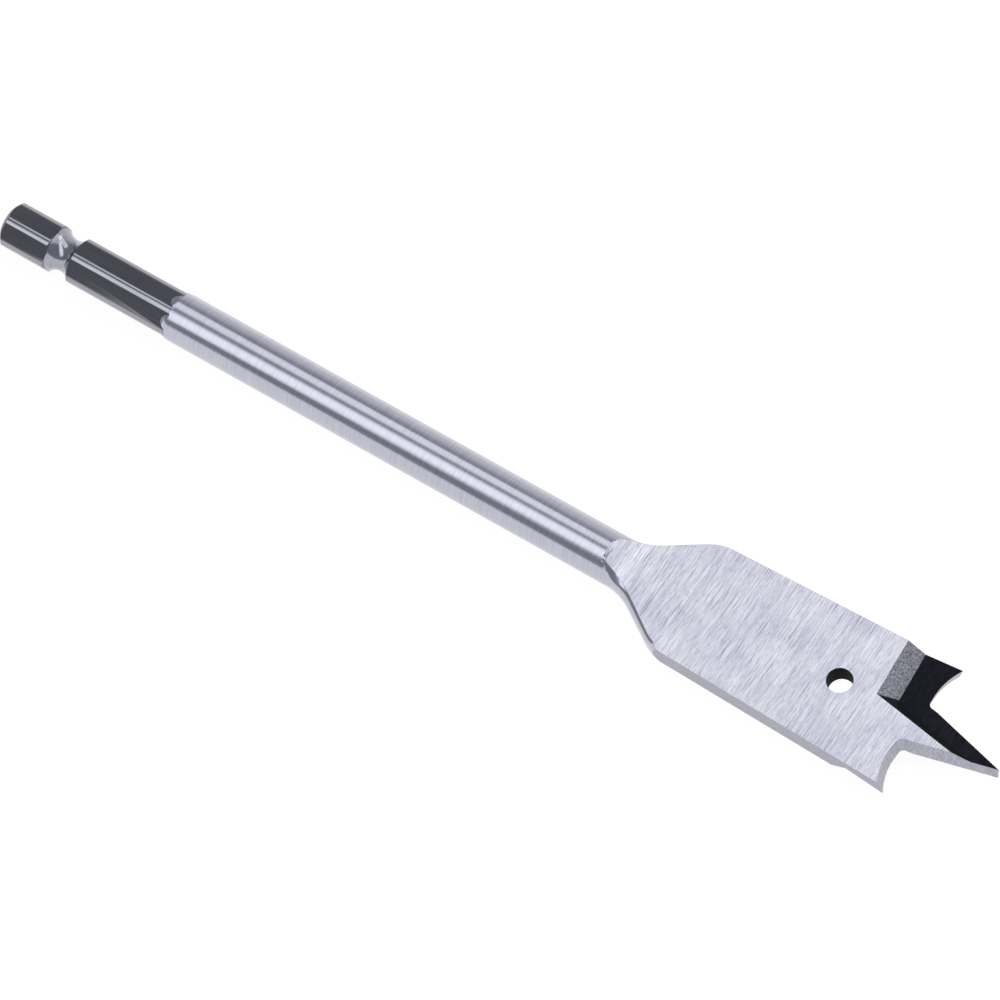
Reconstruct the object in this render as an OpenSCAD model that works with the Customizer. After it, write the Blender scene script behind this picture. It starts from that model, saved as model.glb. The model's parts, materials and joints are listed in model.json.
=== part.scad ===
// Spade drill bit: a flat wood bit made in one piece from a round steel bar.
// The bar is turned, its end is milled to a hexagon, its front is flattened, and the cutting end is ground.
// The axis runs along +X with the point at +X. The bit lies as it comes to rest, on its round shaft
// and one edge of its blade, with the floor at z = 0 and the middle of its length at x = 0.

/* [Overall] */
// Length from the end of the shank to the tip of the point
total_len = 155; // [135:1:200]
// Cutting width over the two spurs, the nominal size of the bit
cut_w = 19; // [17:0.1:25]
// Diameter of the round shaft
shaft_d = 6.9; // [6.7:0.1:7.3]

/* [Hexagon shank] */
// Width of the hexagon across its flats
hex_flats = 6.35; // [6:0.05:6.6]
// Length of the flats, measured along their middles
hex_len = 26.5; // [23:0.1:34]
// How much lower than the shaft the round lands on the hexagon's corners lie
land_drop = 0.04; // [0.02:0.01:0.15]
// Slope of the cone in which the flats run out into the shaft
runout_angle = 14; // [10:1:30]
// Turn of the hexagon about the axis, from a corner on the blade's normal
hex_turn = 17.5; // [0:0.5:30]
// Chamfer at the end of the shank
end_chamfer = 0.6; // [0.3:0.05:1]
// Distance of the detent groove's middle from the end of the shank
groove_at = 9.4; // [8.5:0.1:11]
// Radius of the detent groove's section
groove_r = 2.3; // [2:0.1:3]
// Diameter at the bottom of the detent groove
groove_d = 4.7; // [4.2:0.05:5.2]

/* [Neck] */
// Radius of the hollow in which the shaft starts to widen
neck_r = 8; // [6:0.5:11]
// Radius of the rounded shoulder
shoulder_r = 7; // [4:0.5:7.5]
// Slope of the neck between its hollow and its shoulder
neck_angle = 32; // [28:1:45]
// How much the turned shoulder stands clear of the blade's corners
shoulder_clear = 0.02; // [0.01:0.01:0.1]

/* [Blade] */
// Thickness of the blade between its two flat faces
blade_t = 3.3; // [2.7:0.1:4]
// Width of the blade at its shoulder
shoulder_w = 17; // [15.5:0.1:18]
// Length of the blade from its shoulder to the tips of its spurs
blade_len = 33.5; // [31:0.5:60]
// Radius in which each flat face runs out onto the shaft
face_r = 8; // [5:0.5:14]
// Distance from the start of each flat face to the end of the neck's hollow
face_back = 0.3; // [0.2:0.1:2]
// Diameter of the hole through the blade
hole_d = 3.5; // [2.5:0.1:4]
// Distance of the hole behind the tips of the spurs
hole_back = 12.2; // [11:0.1:20]

/* [Cutting end] */
// Length of the point beyond the tips of the spurs
point_len = 11.5; // [9:0.1:16]
// Angle of the point between its two edges
point_angle = 28; // [20:0.5:32]
// Radius of the hollow lip beside the point
lip_r = 8.9; // [7:0.1:12]
// Height of the spur over the bottom of the lip
spur_rise = 1.2; // [0.8:0.1:1.8]
// Radius of the corner between lip and point
notch_r = 0.9; // [0.7:0.1:1.4]
// How much deeper than the lip and the point's edge the corner is ground
notch_bite = 0.03; // [0.02:0.01:0.1]
// Relief behind the cutting edges of lip and point
relief = 14; // [5:1:16]
// Distance from the start of the rake trough to the tips of the spurs
trough_len = 7.8; // [6.5:0.1:9]
// Length of the ramp down into the rake trough
ramp_len = 2.45; // [1.5:0.05:4]
// Turn of the ramp, which brings its inner end nearer to the point
ramp_turn = 4.5; // [0:0.5:8]
// Depth of the rake trough at the foot of its ramp
trough_depth = 1.7; // [1.2:0.05:2]
// Depth of the rake trough at the lip and along the point
lip_depth = 0.85; // [0.5:0.05:1.1]
// Distance from the axis to the trough's inner edge, where the ramp starts
ridge_y = 0.95; // [0.4:0.05:1.5]
// Angle at which the trough's inner edge crosses the axis
ridge_angle = 9.2; // [5:0.2:14]
// Slope of the trough's inner wall
ridge_slope = 45; // [30:5:75]

/* [Hidden] */

// Smoothness of the round forms
round_fn = 96;
// How far cutters reach past what they cut
over = 2;
// How far the relieved cutters reach past the blade's faces
relief_reach = 0.4;
// Half heights of the relieved cutters and of the slanted cut along the point, which reaches further
cutter_half = blade_t / 2 + relief_reach;
edge_half = cutter_half + relief_reach;

shaft_r = shaft_d / 2;
hex_r = hex_flats / 2;
land_r = shaft_r - land_drop;
hex_corner_r = hex_r / cos(30);

// Stations along the axis, counted from the end of the shank
tip_x = total_len;
spur_x = tip_x - point_len;
shoulder_x = spur_x - blade_len;
ramp_x = spur_x - trough_len;
hole_x = spur_x - hole_back;
stock_end = tip_x + over / 2;
cutter_end = tip_x + over;

// The cone that ends the flats passes their middles at hex_len
cone_x = hex_len - over;
cone_r = hex_r - over * tan(runout_angle);
shaft_x = hex_len + (shaft_r - hex_r) / tan(runout_angle);
shank_end = shaft_x + over;

// The turned shoulder is as wide as the blade's corners, so that the blade's sides grow out of it
blank_r = norm([shoulder_w, blade_t]) / 2 + shoulder_clear;
free_r = norm([cut_w, blade_t]) / 2 + over;

// Neck profile, as [radius, station]: two arcs with a straight slope between them
neck_start = [blank_r - shoulder_r * (1 - cos(neck_angle)), shoulder_x - shoulder_r * sin(neck_angle)];
neck_foot_r = shaft_r + neck_r * (1 - cos(neck_angle));
neck_foot_x = neck_start.y - (neck_start.x - neck_foot_r) / tan(neck_angle);
neck_x = neck_foot_x - neck_r * sin(neck_angle);
hollow_centre = [shaft_r + neck_r, neck_x];
shoulder_centre = [blank_r - shoulder_r, shoulder_x];
shoulder_corner = [blank_r, shoulder_x - shoulder_r * tan(neck_angle / 2)];

// Half width of the blade at a station
function side_y(x) = shoulder_w / 2 + (cut_w - shoulder_w) / 2 * (x - shoulder_x) / blade_len;

// Lip arc: it ends at the tip of the spur and bottoms out spur_rise behind it
lip_centre = [spur_x - spur_rise + lip_r, cut_w / 2 - sqrt(spur_rise * (2 * lip_r - spur_rise))];

// Edge of the point: the direction back from the tip, and the normal towards the lip
edge_dir = [-cos(point_angle / 2), sin(point_angle / 2)];
edge_normal = [sin(point_angle / 2), cos(point_angle / 2)];

// Corner between lip and point: the middle of an arc that touches both, and where their normals meet it
lip_height = (lip_centre - [tip_x, 0]) * edge_normal;
notch_along = sqrt(pow(lip_r - notch_r, 2) - pow(lip_height - notch_r, 2));
notch_centre = lip_centre + (notch_r - lip_height) * edge_normal + notch_along * edge_dir;
lip_normal = (notch_centre - lip_centre) / (lip_r - notch_r);
notch_corner = notch_centre + notch_r * (lip_normal - edge_normal) / (1 - lip_normal * edge_normal);

// Roll about the axis that lays the shaft and the blade's lower edge on the floor
rest_y = side_y(ramp_x);
rest_roll = asin(shaft_r / norm([rest_y, blade_t / 2])) - atan2(blade_t / 2, rest_y);

// Turns a profile, given as radius and station, about the bit's axis
module turned() {
    rotate([0, 90, 0])
        rotate_extrude($fn = round_fn)
            children();
}

// The two sides of the bit are alike: each cut is made again half a turn about the axis
module on_both_sides() {
    children();
    rotate([180, 0, 0])
        children();
}

// Hexagon shank: flats milled on a turned end, with the detent groove
module shank() {
    difference() {
        intersection() {
            turned()
                polygon([
                    [0, 0], [land_r - end_chamfer, 0], [land_r, end_chamfer],
                    [land_r, shank_end], [0, shank_end]
                ]);
            rotate([hex_turn, 0, 0])
                rotate([0, 90, 0])
                    cylinder(r = hex_corner_r, h = shank_end, $fn = 6);
        }
        turned()
            translate([groove_d / 2 + groove_r, groove_at])
                circle(r = groove_r, $fn = round_fn);
    }
}

// Profile of the turned body: run-out cone, shaft, hollow neck, rounded shoulder and blade stock
module body_profile() {
    difference() {
        polygon([
            [0, cone_x], [cone_r, cone_x], [shaft_r, shaft_x], [shaft_r, neck_x], hollow_centre,
            [neck_foot_r, neck_foot_x], neck_start, shoulder_centre, [0, shoulder_x]
        ]);
        translate(hollow_centre)
            circle(r = neck_r, $fn = round_fn);
    }
    intersection() {
        polygon([shoulder_centre, neck_start, shoulder_corner, [blank_r, shoulder_x]]);
        translate(shoulder_centre)
            circle(r = shoulder_r, $fn = round_fn);
    }
    translate([0, shoulder_x])
        square([free_r, stock_end - shoulder_x]);
}

// Stock over one flat face, with the arc in which the face runs out onto the shaft
module face_cut() {
    face_x = neck_foot_x - face_back;
    rotate([90, 0, 0])
        linear_extrude(height = 2 * free_r + over, center = true)
            translate([face_x, blade_t / 2]) {
                square([cutter_end - face_x, free_r]);
                intersection() {
                    translate([0, face_r])
                        circle(r = face_r, $fn = round_fn);
                    translate([-face_r, 0])
                        square([face_r, face_r]);
                }
            }
}

// Stock beside the blade, which widens a little towards its spurs
module side_cut() {
    linear_extrude(height = 2 * free_r, center = true)
        polygon([
            [neck_x, side_y(neck_x)], [cutter_end, side_y(cutter_end)],
            [cutter_end, free_r + over], [neck_x, free_r + over]
        ]);
}

// Round cutter of a given radius at the blade's middle plane, wider below it by the relief
module relieved_cutter(centre, r) {
    lean = cutter_half * tan(relief);
    translate([centre.x, centre.y, -cutter_half])
        cylinder(r1 = r + lean, r2 = r - lean, h = 2 * cutter_half, $fn = round_fn);
}

// Everything beyond one edge of the point, with its relief
module beyond_point_edge() {
    lean = edge_half * tan(relief);
    edge_len = cutter_end - shoulder_x;
    translate([tip_x, 0, 0])
        rotate([0, 0, -point_angle / 2])
            rotate([90, 0, 90])
                translate([0, 0, -edge_len])
                    linear_extrude(height = edge_len + 2 * over)
                        polygon([
                            [-lean, -edge_half], [lean, edge_half],
                            [2 * free_r, edge_half], [2 * free_r, -edge_half]
                        ]);
}

// The corner between lip and point, as seen from the middle of its arc
module notch_sector() {
    linear_extrude(height = 2 * free_r, center = true)
        polygon([
            notch_centre, notch_centre - 2 * notch_r * edge_normal,
            notch_centre + 4 * (notch_corner - notch_centre), notch_centre + 2 * notch_r * lip_normal
        ]);
}

// Lip, spur and one edge of the point, all leaning back from the edge that cuts
module notch_cut() {
    difference() {
        intersection() {
            union() {
                relieved_cutter(lip_centre, lip_r);
                translate([lip_centre.x, -over, -cutter_half])
                    cube([cutter_end - lip_centre.x, lip_centre.y + lip_r, 2 * cutter_half]);
            }
            beyond_point_edge();
        }
        notch_sector();
    }
    relieved_cutter(notch_centre, notch_r + notch_bite);
}

// Rake trough in one wing: a ramp, a floor that rises to the lip, and a slanted wall along the point
module rake_trough() {
    face_z = blade_t / 2;
    ramp_slope = trough_depth / ramp_len;
    wall_run = trough_depth + over;
    trough_reach = 2 * (cutter_end - ramp_x);
    intersection() {
        translate([ramp_x, side_y(ramp_x), face_z])
            rotate([0, 0, ramp_turn])
                rotate([90, 0, 0])
                    linear_extrude(height = 4 * free_r, center = true)
                        polygon([
                            [-over / ramp_slope, over], [ramp_len, -trough_depth],
                            [trough_len, -lip_depth], [trough_reach, -lip_depth], [trough_reach, over]
                        ]);
        translate([ramp_x, ridge_y, face_z])
            rotate([0, 0, -ridge_angle])
                rotate([90, 0, 90])
                    translate([0, 0, -free_r])
                        linear_extrude(height = 2 * free_r + cutter_end - ramp_x)
                            polygon([
                                [-2 * over / tan(ridge_slope), 2 * over],
                                [wall_run / tan(ridge_slope), -wall_run],
                                [3 * free_r, -wall_run],
                                [3 * free_r, 2 * over]
                            ]);
    }
}

// Body from the run-out cone to the tip, with the blade flattened and ground out of it
module blade_and_shaft() {
    difference() {
        turned()
            body_profile();
        on_both_sides() {
            face_cut();
            side_cut();
            notch_cut();
            rake_trough();
        }
        translate([hole_x, 0, 0])
            cylinder(d = hole_d, h = blade_t + over, center = true, $fn = round_fn);
    }
}

// The whole bit, laid on the floor
module drill_bit() {
    color("silver")
        translate([-total_len / 2, 0, shaft_r])
            rotate([rest_roll, 0, 0]) {
                shank();
                blade_and_shaft();
            }
}

drill_bit();
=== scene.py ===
# %% [markdown]
# # Spade drill bit
# A spade bit is one bar of tool steel: a hexagon shank for the chuck, a round shaft, and a flat blade whose
# end is ground to two lips, two spurs and a long point. The CAD model has the true shape, so this lesson
# keeps that shape, softens the neck's forged edges, breaks the sharp ones and gives each surface its finish.

# %% Load the frame
import json
import math

import bpy
from mathutils import Matrix, Vector


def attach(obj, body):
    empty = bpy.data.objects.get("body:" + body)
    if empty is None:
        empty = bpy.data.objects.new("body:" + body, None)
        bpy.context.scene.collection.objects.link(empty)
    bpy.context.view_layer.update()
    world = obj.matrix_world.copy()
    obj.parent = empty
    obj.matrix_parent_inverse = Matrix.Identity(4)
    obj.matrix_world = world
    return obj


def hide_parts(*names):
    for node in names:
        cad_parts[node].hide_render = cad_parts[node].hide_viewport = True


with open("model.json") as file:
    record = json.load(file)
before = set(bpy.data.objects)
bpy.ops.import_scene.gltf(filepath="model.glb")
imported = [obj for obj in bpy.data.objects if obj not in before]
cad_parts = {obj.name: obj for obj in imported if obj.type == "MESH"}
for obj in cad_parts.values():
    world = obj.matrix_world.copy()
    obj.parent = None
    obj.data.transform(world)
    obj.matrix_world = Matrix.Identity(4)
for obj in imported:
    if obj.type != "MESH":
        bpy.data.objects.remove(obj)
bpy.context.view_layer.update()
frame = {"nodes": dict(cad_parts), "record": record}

print("CAD nodes:", sorted(frame["nodes"]))

# %% [markdown]
# ## The blade's own axes
# The bit lies on its shaft and on one edge of its blade, so the blade is rolled a little. Every finish
# follows the blade and not the floor. The mounts of the record say where the axis runs and how far the blade
# is rolled, so stations can be counted along the bit from the end of the shank, as with a ruler.

# %% Measure the roll and set up the blade's axes
MM = 0.001
mounts = {mount["name"]: mount for mount in frame["record"]["mounts"]}
shank_end = Vector(mounts["hex_shank"]["pos_m"])
hole_place = Vector(mounts["hang_hole"]["pos_m"])
blade_normal = Vector(mounts["hang_hole"]["axis"])
blade_roll = math.atan2(-blade_normal.y, blade_normal.z)
to_blade_axes = Matrix.Rotation(-blade_roll, 4, "X") @ Matrix.Translation(-shank_end)
from_blade_axes = to_blade_axes.inverted()
print("blade rolled by", round(math.degrees(blade_roll), 2), "degrees")

# %% [markdown]
# ## The bit's mesh
# The finished piece could be modelled again from a cylinder, but the CAD node already has every true arc and
# cone. A copy of its mesh is merged, and its flat faces are dissolved to single faces, which makes a clean
# start for selecting surfaces and for bevelling edges.

# %% Copy the CAD mesh and clean it
MERGE_DISTANCE = 0.0005 * MM
FLAT_ANGLE = math.radians(0.3)
cad_node = frame["nodes"]["drill_bit"]
bit = bpy.data.objects.new("spade_bit", cad_node.data.copy())
bpy.context.scene.collection.objects.link(bit)
bit.data.materials.clear()


def work_on(piece):
    bpy.ops.object.select_all(action="DESELECT")
    piece.select_set(True)
    bpy.context.view_layer.objects.active = piece


work_on(bit)
bpy.ops.object.mode_set(mode="EDIT")
bpy.ops.mesh.select_all(action="SELECT")
bpy.ops.mesh.remove_doubles(threshold=MERGE_DISTANCE)
bpy.ops.mesh.dissolve_limited(angle_limit=FLAT_ANGLE)
bpy.ops.object.mode_set(mode="OBJECT")
print("merged mesh:", len(bit.data.vertices), "points,", len(bit.data.polygons), "faces")

# %% [markdown]
# ## Colours and nodes
# Colours are written as a picture editor shows them, in sRGB hex, and one function turns them to the linear
# values that shaders use. One more function adds a node with its settings and links, so that each material
# reads as a short list.

# %% Helpers for materials
def linear(hex_colour):
    parts = [int(hex_colour[i:i + 2], 16) / 255 for i in (1, 3, 5)]
    return [p / 12.92 if p <= 0.04045 else ((p + 0.055) / 1.055) ** 2.4 for p in parts] + [1.0]


def add_node(tree, kind, settings=None, inputs=None):
    node = tree.nodes.new(kind)
    for name, value in (settings or {}).items():
        setattr(node, name, value)
    for name, value in (inputs or {}).items():
        if isinstance(value, bpy.types.NodeSocket):
            tree.links.new(value, node.inputs[name])
        else:
            node.inputs[name].default_value = value
    return node


def set_stops(ramp_node, stops):
    ramp = ramp_node.color_ramp
    while len(ramp.elements) < len(stops):
        ramp.elements.new(1.0)
    for element, (place, colour) in zip(ramp.elements, stops):
        element.position = place
        element.color = linear(colour)


def new_steel(name):
    material = bpy.data.materials.new(name)
    material.use_nodes = True
    shader = material.node_tree.nodes["Principled BSDF"]
    shader.inputs["Metallic"].default_value = 1.0
    return material, material.node_tree, shader


def link_finish(tree, shader, colour, gloss, bump):
    tree.links.new(colour, shader.inputs["Base Color"])
    tree.links.new(gloss.outputs["Result"], shader.inputs["Roughness"])
    tree.links.new(bump.outputs["Normal"], shader.inputs["Normal"])


def blade_pattern(tree, grain_mm):
    """Coordinates along, across and through the blade, in units of the given grain sizes in millimetres."""
    place = add_node(tree, "ShaderNodeTexCoord").outputs["Object"]
    turned = add_node(tree, "ShaderNodeMapping", inputs={
        "Vector": place, "Rotation": (-blade_roll, 0, 0)}).outputs["Vector"]
    scale = [1 / (size * MM) for size in grain_mm]
    return add_node(tree, "ShaderNodeMapping", inputs={"Vector": turned, "Scale": scale}).outputs["Vector"]


# %% [markdown]
# ## Satin shaft
# The round shaft is ground between wheels and plated. The wheel leaves fine marks round the bar, which
# sparkle where a bright and a dark reflection meet. The real marks are too fine to show, so they are drawn an
# eighth of a millimetre apart, and they tilt the surface more than they change its tone.

# %% Satin plated steel for shaft and neck
satin, tree, shader = new_steel("satin_plated_steel")
rings = blade_pattern(tree, (0.12, 4.0, 4.0))
ring_noise = add_node(tree, "ShaderNodeTexNoise", inputs={"Vector": rings, "Scale": 1.0, "Detail": 3.0})
tone = add_node(tree, "ShaderNodeValToRGB", inputs={"Fac": ring_noise.outputs["Fac"]})
set_stops(tone, [(0.3, "#B5B6C2"), (0.7, "#C4C5D1")])
gloss = add_node(tree, "ShaderNodeMapRange", inputs={
    "Value": ring_noise.outputs["Fac"], "To Min": 0.16, "To Max": 0.23})
ring_bump = add_node(tree, "ShaderNodeBump", inputs={
    "Height": ring_noise.outputs["Fac"], "Strength": 0.5, "Distance": 0.008 * MM})
link_finish(tree, shader, tone.outputs["Color"], gloss, ring_bump)

# %% [markdown]
# ## Polished hexagon
# The hexagon is drawn and polished, so it is the darkest and smoothest round of the bit: it mirrors the room,
# and only its narrow corner lands catch the light. Faint draw lines run along it.

# %% Dark polished steel for the hexagon
polished, tree, shader = new_steel("dark_polished_steel")
lines = blade_pattern(tree, (6.0, 0.12, 0.12))
line_noise = add_node(tree, "ShaderNodeTexNoise", inputs={"Vector": lines, "Scale": 1.0, "Detail": 2.0})
tone = add_node(tree, "ShaderNodeValToRGB", inputs={"Fac": line_noise.outputs["Fac"]})
set_stops(tone, [(0.3, "#78787E"), (0.7, "#86868C")])
gloss = add_node(tree, "ShaderNodeMapRange", inputs={
    "Value": line_noise.outputs["Fac"], "To Min": 0.06, "To Max": 0.14})
line_bump = add_node(tree, "ShaderNodeBump", inputs={
    "Height": line_noise.outputs["Fac"], "Strength": 0.2, "Distance": 0.002 * MM})
link_finish(tree, shader, tone.outputs["Color"], gloss, line_bump)

# %% [markdown]
# ## Cross-ground blade
# The flat faces are ground across the bit by a wheel. Its grit leaves fine lines about a tenth of a
# millimetre apart, and here and there a single grain tears a longer, darker scratch. Soft clouds come from
# uneven pressure. Each kind of mark darkens the tone of the one before.

# %% Cross-ground steel for the blade's faces
ground, tree, shader = new_steel("cross_ground_steel")
fine = blade_pattern(tree, (0.11, 3.5, 3.5))
fine_noise = add_node(tree, "ShaderNodeTexNoise", inputs={"Vector": fine, "Scale": 1.0, "Detail": 2.0})
fine_tone = add_node(tree, "ShaderNodeValToRGB", inputs={"Fac": fine_noise.outputs["Fac"]})
set_stops(fine_tone, [(0.3, "#D3D4DC"), (0.5, "#E5E6EE"), (0.7, "#F2F3F8")])
LONG_SCRATCHES = ((0.11, 6.0, 6.0), [(0.31, "#C4C4CC"), (0.4, "#FFFFFF")])
SHORT_SCRATCHES = ((0.11, 0.9, 0.9), [(0.34, "#E4E4EA"), (0.5, "#FFFFFF")])
WHEEL_BANDS = ((0.35, 9.0, 9.0), [(0.3, "#F4F4F5"), (0.6, "#FFFFFF")])
CLOUDS = ((7.0, 5.0, 5.0), [(0.35, "#F3F4F8"), (0.65, "#FFFFFF")])
worked = fine_tone.outputs["Color"]
for grain_mm, stops in (LONG_SCRATCHES, SHORT_SCRATCHES, WHEEL_BANDS, CLOUDS):
    marks = add_node(tree, "ShaderNodeTexNoise", inputs={
        "Vector": blade_pattern(tree, grain_mm), "Scale": 1.0, "Detail": 1.0})
    shade = add_node(tree, "ShaderNodeValToRGB", inputs={"Fac": marks.outputs["Fac"]})
    set_stops(shade, stops)
    darkened = add_node(tree, "ShaderNodeMix", {"data_type": "RGBA", "blend_type": "MULTIPLY"}, {
        "Factor": 1.0, "A": worked, "B": shade.outputs["Color"]})
    worked = darkened.outputs["Result"]
gloss = add_node(tree, "ShaderNodeMapRange", inputs={
    "Value": fine_noise.outputs["Fac"], "To Min": 0.42, "To Max": 0.3})
scratch_bump = add_node(tree, "ShaderNodeBump", inputs={
    "Height": fine_noise.outputs["Fac"], "Strength": 0.4, "Distance": 0.004 * MM})
link_finish(tree, shader, worked, gloss, scratch_bump)

# %% [markdown]
# ## Other ground surfaces
# The remaining surfaces differ in tone and grit only: a bright groove, corner lands that the chuck has worn,
# grey edges along the blade, a grainy ramp, a rake trough whose near-black tone is a painted reflection of
# the dark room, light lips and point, and the wall of the hole. One loop makes them all from a tone range, a
# roughness range, a grit size and a depth. The wall of the hole has a black scale, which isn't a metal and
# hardly shines.

# %% Grainy finishes for groove, lands, edges, ramp, trough, lips and hole
GRIT_DEPTH = 0.01 * MM
GRAINY_FINISHES = {
    "turned_groove_steel": ("#9C9CA6", "#B2B2BC", 0.1, 0.18, (0.15, 1.5, 1.5), 0.2),
    "worn_land_steel": ("#94949C", "#A6A6AE", 0.08, 0.14, (6.0, 0.12, 0.12), 0.1),
    "ground_edge_steel": ("#999AA6", "#ACADB9", 0.28, 0.4, (0.5, 0.25, 0.25), 0.3),
    "gritty_ramp_steel": ("#585A62", "#A3A5AD", 0.35, 0.55, (0.25, 0.25, 0.25), 0.8),
    # The rake trough's near-black tones are a painted reflection of the dark room, not the steel's own
    # colour.
    "black_rake_steel": ("#17181C", "#22232A", 0.16, 0.28, (0.3, 1.2, 1.2), 0.2),
    "ground_lip_steel": ("#9E9EAA", "#BABAC6", 0.3, 0.45, (0.25, 0.25, 1.0), 0.5),
    "scaled_hole_steel": ("#020204", "#06060A", 0.5, 0.7, (0.3, 0.3, 0.8), 0.3),
}
finishes = {"satin": satin, "polished": polished, "ground": ground}
for name, (dark, light, smooth, rough, grit_mm, depth) in GRAINY_FINISHES.items():
    material, tree, shader = new_steel(name)
    grit = add_node(tree, "ShaderNodeTexNoise", inputs={
        "Vector": blade_pattern(tree, grit_mm), "Scale": 1.0, "Detail": 3.0})
    tone = add_node(tree, "ShaderNodeValToRGB", inputs={"Fac": grit.outputs["Fac"]})
    set_stops(tone, [(0.32, dark), (0.68, light)])
    gloss = add_node(tree, "ShaderNodeMapRange", inputs={
        "Value": grit.outputs["Fac"], "To Min": smooth, "To Max": rough})
    bump = add_node(tree, "ShaderNodeBump", inputs={
        "Height": grit.outputs["Fac"], "Strength": depth, "Distance": GRIT_DEPTH})
    link_finish(tree, shader, tone.outputs["Color"], gloss, bump)
    finishes[name.split("_")[1]] = material
scale_shader = finishes["hole"].node_tree.nodes["Principled BSDF"]
scale_shader.inputs["Metallic"].default_value = 0.0
scale_shader.inputs["Specular IOR Level"].default_value = 0.05
print("finishes:", sorted(finishes))

# %% [markdown]
# ## Which surface has which finish
# The surfaces can be told apart by where they lie and which way they face, in the blade's axes: flats and
# lands lie within the hexagon's length, the blade's faces look along its normal, its edges look sideways, and
# so on. The share of a face's normal along an axis, from 0 to 1, says how far the face looks that way.

# %% Give each face its finish
HEX_END = 27.7 * MM
GROOVE_FROM, GROOVE_TO = 7.3 * MM, 11.5 * MM
GROOVE_DEEP = 3.12 * MM
LAND_RADIUS = 3.35 * MM
RUN_OUT_FROM, NECK_END = 90.3 * MM, 110.3 * MM
FACE_DEPTH = 1.6 * MM
CUTTING_END = 135.0 * MM
LIPS_FROM = 140.0 * MM
HOLE_WALL = 1.9 * MM
STRAIGHT, LEANING, SLOPING, SLIGHT, HARDLY = 0.9, 0.5, 0.3, 0.1, 0.02


def finish_name(face):
    place = to_blade_axes @ face.center
    facing = to_blade_axes.to_3x3() @ face.normal
    radius = math.hypot(place.y, place.z)
    through = abs(facing.z)
    if (face.center - hole_place).length < HOLE_WALL and through < LEANING:
        return "hole"
    if place.x < HEX_END:
        if GROOVE_FROM < place.x < GROOVE_TO and radius < GROOVE_DEEP:
            return "groove"
        on_cone = facing.x < -SLIGHT and place.x > HEX_END / 2
        if on_cone:
            return "satin"
        on_land = radius > LAND_RADIUS and abs(facing.x) < SLIGHT
        return "land" if on_land else "polished"
    if place.x < NECK_END:
        runs_out = through > SLOPING and abs(facing.y) < HARDLY
        return "ground" if runs_out and place.x > RUN_OUT_FROM else "satin"
    if place.x < CUTTING_END:
        return "ground" if through > STRAIGHT else "edge"
    if through > STRAIGHT:
        return "ground" if abs(place.z) > FACE_DEPTH else "rake"
    if through > LEANING:
        return "ramp" if facing.x > SLOPING else "rake"
    return "lip" if place.x > LIPS_FROM else "edge"


for material in finishes.values():
    bit.data.materials.append(material)
slot_of = {name: number for number, name in enumerate(finishes)}
counts = dict.fromkeys(finishes, 0)
for face in bit.data.polygons:
    name = finish_name(face)
    face.material_index = slot_of[name]
    counts[name] += 1
print("faces of each finish:", counts)

# %% [markdown]
# ## Forged neck
# The neck was pressed out of the round bar before the faces were ground, so the edge between face and side is
# soft: the round of the shaft goes over into a slope that runs down the neck and ends at the shoulder. The
# edge half a turn away is the same, and the other two were ground sharp. The CAD neck has four plain edges.
# A bevel of one width can't follow such a slope, so the neck is cut at even stations and the two edges get a
# narrow bevel in rows, which slide to their places afterwards. Where a bevel begins or ends, the whole bit is
# cut, so that the bevel has an edge to end on.

# %% Tools to cut the bit and to read its edges
CUT_REACH = 0.01 * MM


def deselect_mesh(kind):
    bpy.ops.object.mode_set(mode="EDIT")
    bpy.ops.mesh.select_mode(type=kind)
    bpy.ops.mesh.select_all(action="DESELECT")
    bpy.ops.object.mode_set(mode="OBJECT")


def divide_satin(station, first, last):
    """Cuts the satin faces whose centres lie between two stations."""
    deselect_mesh("FACE")
    for face in bit.data.polygons:
        inside = first < (to_blade_axes @ face.center).x / MM < last
        face.select = face.material_index == slot_of["satin"] and inside
    bpy.ops.object.mode_set(mode="EDIT")
    bpy.ops.mesh.bisect(plane_co=from_blade_axes @ Vector((station * MM, 0, 0)), plane_no=(1, 0, 0))
    bpy.ops.object.mode_set(mode="OBJECT")


def divide_bit(station):
    """Cuts all faces at a station."""
    bpy.ops.object.mode_set(mode="EDIT")
    bpy.ops.mesh.select_all(action="SELECT")
    bpy.ops.mesh.bisect(
        plane_co=from_blade_axes @ Vector((station * MM, 0, 0)), plane_no=(1, 0, 0), threshold=CUT_REACH)
    bpy.ops.object.mode_set(mode="OBJECT")


def faces_by_edge():
    faces_at = {}
    for face in bit.data.polygons:
        for key in face.edge_keys:
            faces_at.setdefault(key, []).append(face)
    return faces_at


def middle_of(edge):
    near, far = [bit.data.vertices[number].co for number in edge.vertices]
    return to_blade_axes @ ((near + far) / 2)


# %% Cut the neck, at stations in millimetres from the shank's end
HOLLOW_FROM, SLOPE_FROM, SHOULDER_FROM, SHOULDER_AT = 97.33, 101.57, 106.29, 110.0
SOFT_FROM, SOFT_TO = 96.5, 108.8
BREAK_FROM, BREAK_AGAIN = 98.0, 111.0
SHAFT_CUT = 96.2
STATION_STEP = 0.3
work_on(bit)
divide_satin(SHAFT_CUT, HEX_END / MM, HOLLOW_FROM)
station = SHAFT_CUT + STATION_STEP
while station < SHOULDER_AT:
    divide_satin(station, SHAFT_CUT, SHOULDER_AT)
    station += STATION_STEP
for station in (SOFT_FROM, BREAK_FROM, SOFT_TO, BREAK_AGAIN):
    divide_bit(station)
print("cut mesh:", len(bit.data.polygons), "faces")

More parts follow.
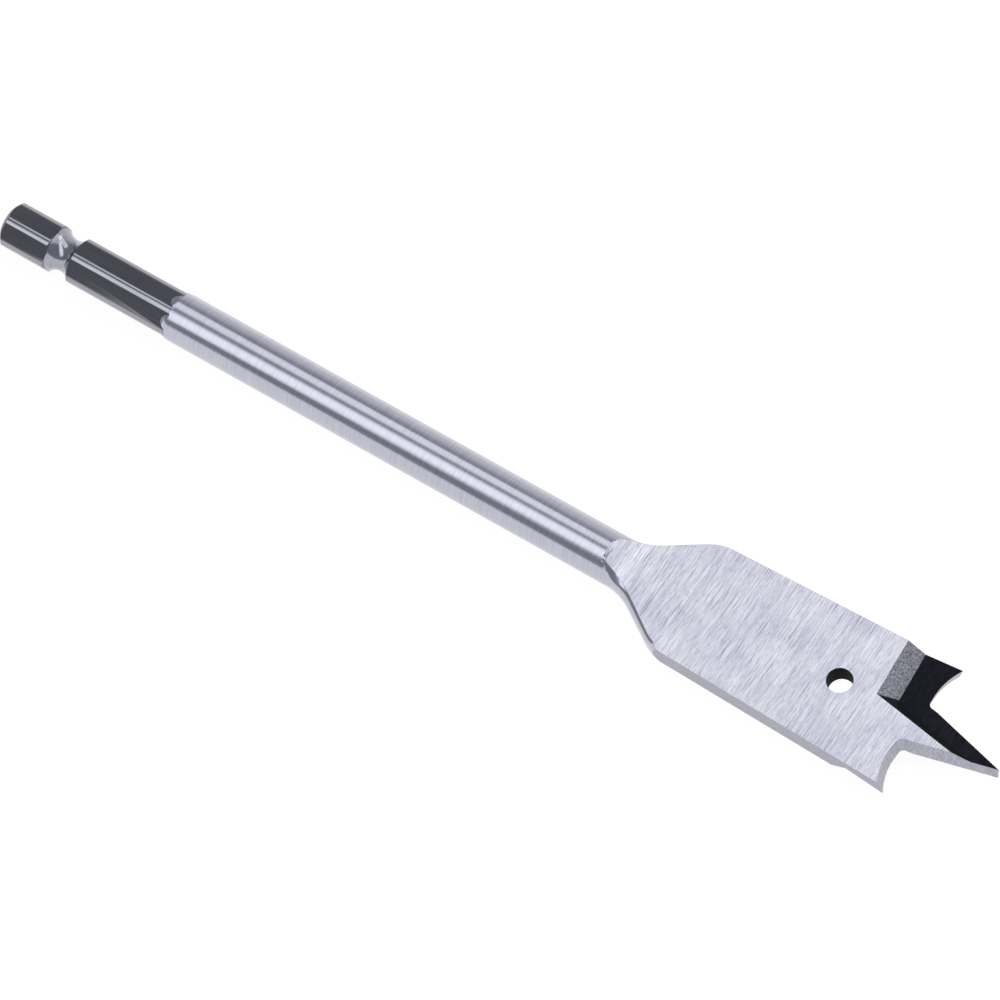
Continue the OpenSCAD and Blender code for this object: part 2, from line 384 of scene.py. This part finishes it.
# %% Bevel the soft edges in rows
ROWS = 6
FIRST_BEVEL = 0.05 * MM
deselect_mesh("EDGE")
faces_at = faces_by_edge()
for edge in bit.data.edges:
    place = middle_of(edge)
    soft = place.y * place.z < 0 and SOFT_FROM * MM < place.x < SOFT_TO * MM
    meeting = {face.material_index for face in faces_at[edge.key]}
    edge.select = soft and meeting == {slot_of["satin"], slot_of["ground"]}
bpy.ops.object.mode_set(mode="EDIT")
bpy.ops.mesh.bevel(
    offset=FIRST_BEVEL, segments=ROWS, affect="EDGES", clamp_overlap=False, material=slot_of["satin"])
bpy.ops.object.mode_set(mode="OBJECT")
new_faces = [face for face in bit.data.polygons if face.select]
print("soft edges:", len(new_faces), "new faces")

# %% [markdown]
# ## Shape of the soft slope
# The side of the neck was turned, and the face runs out onto the shaft in an arc, so both are known at every
# station. Three small tables say how far the slope reaches onto the face and down the side, in millimetres,
# and how flat it is: at 0 it is tangent to face and side, and at 1 it is a straight chamfer.

# %% Describe the slope
SHAFT_RADIUS, HOLLOW_RADIUS, SHOULDER_RADIUS, BLANK_RADIUS = 3.45, 8.0, 7.0, 8.679
NECK_ANGLE = math.radians(32)
FACE_FROM, FACE_RUN_OUT, HALF_THICKNESS = 101.27, 8.0, 1.65
FACE_REACH = {
    SOFT_FROM: 0, 97.1: 0.15, 97.6: 0.4, 98.6: 0.65, 100: 0.65, 103: 0.7, 106: 0.6, 107.9: 0.5, SOFT_TO: 0}
SIDE_REACH = {
    SOFT_FROM: 0, 97.1: 0.12, 97.6: 0.3, 98.6: 0.7, 100: 0.85, 103: 0.8, 106: 0.65, 107.9: 0.6, SOFT_TO: 0}
FLATNESS = {97: 0.2, 98.6: 0.55, 103: 0.5, 106: 0.5, 108: 0.8}


def at_station(table, station):
    stations = sorted(table)
    for near, far in zip(stations, stations[1:]):
        if station <= far:
            share = max(station - near, 0.0) / (far - near)
            return table[near] + share * (table[far] - table[near])
    return table[stations[-1]]


def turned_radius(station):
    if station < SLOPE_FROM:
        hollow = HOLLOW_RADIUS ** 2 - max(station - HOLLOW_FROM, 0.0) ** 2
        return SHAFT_RADIUS + HOLLOW_RADIUS - math.sqrt(hollow)
    if station < SHOULDER_FROM:
        foot = SHAFT_RADIUS + HOLLOW_RADIUS * (1 - math.cos(NECK_ANGLE))
        return foot + (station - SLOPE_FROM) * math.tan(NECK_ANGLE)
    return BLANK_RADIUS - SHOULDER_RADIUS + math.sqrt(SHOULDER_RADIUS ** 2 - (SHOULDER_AT - station) ** 2)


def face_height(station):
    before = max(FACE_FROM - station, 0.0)
    return HALF_THICKNESS + FACE_RUN_OUT - math.sqrt(FACE_RUN_OUT ** 2 - before ** 2)


def on_slope(station, share):
    """Distance across the blade and height of a point on the slope, from the face, 0, to the side, 1."""
    radius, height = turned_radius(station), face_height(station)
    low = height - at_station(SIDE_REACH, station)
    rim = math.sqrt(radius ** 2 - low ** 2)
    edge = math.sqrt(radius ** 2 - height ** 2)
    start = Vector((edge - at_station(FACE_REACH, station), height))
    end = Vector((rim, low))
    corner = Vector((rim - (height - low) * low / rim, height))
    corner = corner.lerp((start + end) / 2, at_station(FLATNESS, station))
    return start.lerp(corner, share).lerp(corner.lerp(end, share), share)


slope_width = (on_slope(SLOPE_FROM, 1) - on_slope(SLOPE_FROM, 0)).length
print("soft slope at mid-neck:", round(slope_width, 2), "mm wide")

# %% [markdown]
# ## Rows on the slope
# The rows are counted outwards from the face. Each point keeps its station and slides to its row's place. The
# side below is pressed down in proportion, so that its own faces don't fold, and stays on the turned surface.
# Points of the blade's flat sides stay where they are.

# %% Count the rows and slide them onto the slope
def points_of(faces, finish):
    return {number for face in faces if face.material_index == slot_of[finish] for number in face.vertices}


kept_faces = [face for face in bit.data.polygons if not face.select]
new_points = points_of(new_faces, "satin")
links = {key for face in new_faces for key in face.edge_keys}
row_of = dict.fromkeys(new_points & points_of(kept_faces, "ground"), 0)
for row in range(1, ROWS + 1):
    reached = {number for key in links if not row_of.keys().isdisjoint(key) for number in key}
    row_of.update(dict.fromkeys(reached - row_of.keys(), row))
for number, row in row_of.items():
    place = to_blade_axes @ bit.data.vertices[number].co
    place.x = min(max(place.x, SOFT_FROM * MM), SOFT_TO * MM)
    across, height = on_slope(place.x / MM, row / ROWS) * MM
    place.y = math.copysign(across, place.y)
    if row:
        place.z = math.copysign(height, place.z)
    bit.data.vertices[number].co = from_blade_axes @ place
print("soft slopes:", len(row_of), "points set")

# %% Press down the sides below
pressed = 0
for number in points_of(kept_faces, "satin") - new_points - points_of(kept_faces, "edge"):
    place = to_blade_axes @ bit.data.vertices[number].co
    station = place.x / MM
    if SOFT_FROM < station < SOFT_TO and place.y * place.z < 0:
        radius = math.hypot(place.y, place.z)
        place.z *= 1 - at_station(SIDE_REACH, station) / face_height(station)
        place.y = math.copysign(math.sqrt(radius ** 2 - place.z ** 2), place.y)
        bit.data.vertices[number].co = from_blade_axes @ place
        pressed += 1
print("sides:", pressed, "points pressed down")

# %% [markdown]
# ## Broken edges
# No real edge is perfectly sharp. A thin bevel along every corner catches a line of light and makes the steel
# look machined. The soft slopes and the tips of the faces on the shaft are left out. Points that lie closer
# together than the bevel are merged first, so that it can't cross itself.

# %% Bevel the corners
EDGE_BREAK = 0.045 * MM
SHORTEST_EDGE = 0.04 * MM
CORNER_ANGLE = math.radians(35)
BREAK_SEGMENTS = 2
bpy.ops.object.mode_set(mode="EDIT")
bpy.ops.mesh.select_all(action="SELECT")
bpy.ops.mesh.remove_doubles(threshold=SHORTEST_EDGE)
bpy.ops.object.mode_set(mode="OBJECT")
deselect_mesh("EDGE")
faces_at = faces_by_edge()
for edge in bit.data.edges:
    normals = [face.normal for face in faces_at[edge.key]]
    is_corner = len(normals) == 2 and normals[0].angle(normals[1]) > CORNER_ANGLE
    place = middle_of(edge)
    station = place.x / MM
    on_neck = SHAFT_CUT - STATION_STEP < station < BREAK_AGAIN
    left_out = on_neck and (station < BREAK_FROM or place.y * place.z < 0)
    edge.select = is_corner and not left_out
bpy.ops.object.mode_set(mode="EDIT")
bpy.ops.mesh.bevel(offset=EDGE_BREAK, segments=BREAK_SEGMENTS, affect="EDGES", clamp_overlap=False)
bpy.ops.object.mode_set(mode="OBJECT")
print("bevelled mesh:", len(bit.data.polygons), "faces")

# %% [markdown]
# ## Shading
# Rounds are shaded smooth and corners stay crisp, also the shallow one where the turned shoulder meets the
# blade's flat side. Wide faces set the shading at their own rims, which keeps the flats flat.

# %% Shade the surfaces and place the bit in the frame
SMOOTH_ANGLE = math.radians(19)
bpy.ops.object.shade_smooth_by_angle(angle=SMOOTH_ANGLE)
faces_at = faces_by_edge()
shoulder_line = {slot_of["satin"], slot_of["edge"]}
for edge in bit.data.edges:
    if {face.material_index for face in faces_at[edge.key]} == shoulder_line:
        edge.use_edge_sharp = True
even_shading = bit.modifiers.new("even_shading", "WEIGHTED_NORMAL")
even_shading.keep_sharp = True
even_shading.weight = 100
bpy.ops.object.modifier_apply(modifier=even_shading.name)

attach(bit, "root")
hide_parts("drill_bit")
print("sharp edges:", sum(edge.use_edge_sharp for edge in bit.data.edges))

# %% [markdown]
# ## Floor
# The bit lies on a sheet of white paper. Paper alone would look grey under the softboxes, so most of what the
# camera and the steel see of it glows evenly, and the rest takes the light and keeps the bit's soft shadow.

# %% White floor
FLOOR_SIZE = 12.0
GLOW_SHARE = 0.88
GLOW_STRENGTH = 1.08
bpy.ops.mesh.primitive_plane_add(size=FLOOR_SIZE, location=(0, 0, 0))
floor = bpy.context.object
floor.name = "studio_floor"
white = bpy.data.materials.new("white_paper_floor")
white.use_nodes = True
tree = white.node_tree
shader = tree.nodes["Principled BSDF"]
shader.inputs["Base Color"].default_value = linear("#F4F4F6")
shader.inputs["Roughness"].default_value = 0.9
shader.inputs["Specular IOR Level"].default_value = 0.0
path = add_node(tree, "ShaderNodeLightPath").outputs
seen = add_node(tree, "ShaderNodeMath", {"operation": "ADD"}, {
    0: path["Is Camera Ray"], 1: path["Is Glossy Ray"]}).outputs["Value"]
seen = add_node(tree, "ShaderNodeMath", {"operation": "ADD", "use_clamp": True}, {
    0: seen, 1: path["Is Transmission Ray"]}).outputs["Value"]
share = add_node(tree, "ShaderNodeMath", {"operation": "MULTIPLY"}, {0: seen, 1: GLOW_SHARE}).outputs["Value"]
glow = add_node(tree, "ShaderNodeEmission", inputs={"Color": linear("#FFFFFF"), "Strength": GLOW_STRENGTH})
mixed = add_node(tree, "ShaderNodeMixShader", inputs={
    0: share, 1: shader.outputs["BSDF"], 2: glow.outputs["Emission"]})
tree.links.new(mixed.outputs["Shader"], tree.nodes["Material Output"].inputs["Surface"])
floor.data.materials.append(white)

# %% [markdown]
# ## Softboxes and room
# Two long softboxes hang over the bit, each turned at an angle to it. Their reflections are the bright bands
# on the shaft, and the dim room between them gives the dark lines and the dark slope on the neck. The room is
# lighter at its back wall and, as from a window, on the side of the bit's point. The window shows in the
# face's run-out on the shaft.

# %% Softboxes, with heights and turns in degrees, other sizes in metres
SOFTBOXES = {
    "front_softbox": {
        "height": 50, "turn": 51.5, "along": 0.01, "across": 0.472, "size": (1.9, 0.352), "level": 1.28},
    "top_softbox": {
        "height": 104, "turn": 25, "along": 0.2, "across": 0.2365, "size": (1.55, 0.383), "level": 0.95},
}
BOX_DISTANCE = 0.8
for name, box in SOFTBOXES.items():
    lamp = bpy.data.lights.new(name, "AREA")
    lamp.shape = "RECTANGLE"
    lamp.size, lamp.size_y = box["size"]
    lamp.energy = box["level"] * math.pi * lamp.size * lamp.size_y
    softbox = bpy.data.objects.new(name, lamp)
    bpy.context.scene.collection.objects.link(softbox)
    tilt = Matrix.Rotation(math.pi / 2 - math.radians(box["height"]), 4, "X")
    softbox.location = tilt @ Vector((box["along"], box["across"], BOX_DISTANCE))
    softbox.rotation_euler = (tilt @ Matrix.Rotation(math.radians(box["turn"]), 4, "Z")).to_euler()
    softbox.visible_camera = False
    print(name, "emits", round(lamp.energy, 2), "watts")

# %% Dim room with a light back wall and a window
ROOM, BACK_WALL = "#94949C", "#F4F4F6"
world = bpy.data.worlds.new("dim_room")
bpy.context.scene.world = world
world.use_nodes = True
tree = world.node_tree
direction = add_node(tree, "ShaderNodeTexCoord").outputs["Generated"]
axes = add_node(tree, "ShaderNodeSeparateXYZ", inputs={"Vector": direction}).outputs
back_wall = add_node(tree, "ShaderNodeValToRGB", inputs={"Fac": axes["Y"]})
set_stops(back_wall, [(0.55, ROOM), (0.95, BACK_WALL)])
beside = add_node(tree, "ShaderNodeMapRange", inputs={
    "Value": axes["X"], "From Min": 0.3, "From Max": 0.55}).outputs["Result"]
behind = add_node(tree, "ShaderNodeMapRange", inputs={
    "Value": axes["Y"], "From Min": -0.15, "From Max": 0.05}).outputs["Result"]
window = add_node(tree, "ShaderNodeMath", {"operation": "MULTIPLY"}, {0: beside, 1: behind}).outputs["Value"]
room = add_node(tree, "ShaderNodeMix", {"data_type": "RGBA"}, {
    "Factor": window, "A": back_wall.outputs["Color"], "B": linear(BACK_WALL)})
tree.links.new(room.outputs["Result"], tree.nodes["Background"].inputs["Color"])

# %% [markdown]
# ## Camera
# The camera was fitted to the outline of the bit in the photograph. It has a long lens, stands about a metre
# away towards the blade's end and looks down steeply.

# %% Camera at the photograph's angle
CAMERA_AZIMUTH = math.radians(34.754)
CAMERA_HEIGHT = math.radians(53.652)
CAMERA_DISTANCE = 0.9477
camera_data = bpy.data.cameras.new("photo_camera")
camera_data.sensor_width = 36.0
camera_data.lens = 263.3
camera_data.shift_x = 0.00825
camera_data.shift_y = 0.0072
camera = bpy.data.objects.new("photo_camera", camera_data)
bpy.context.scene.collection.objects.link(camera)
back = Vector((
    math.sin(CAMERA_AZIMUTH) * math.cos(CAMERA_HEIGHT),
    -math.cos(CAMERA_AZIMUTH) * math.cos(CAMERA_HEIGHT),
    math.sin(CAMERA_HEIGHT),
))
camera.location = back * CAMERA_DISTANCE
camera.rotation_euler = (-back).to_track_quat("-Z", "Y").to_euler()
bpy.context.scene.camera = camera
bpy.context.scene.view_settings.view_transform = "Standard"
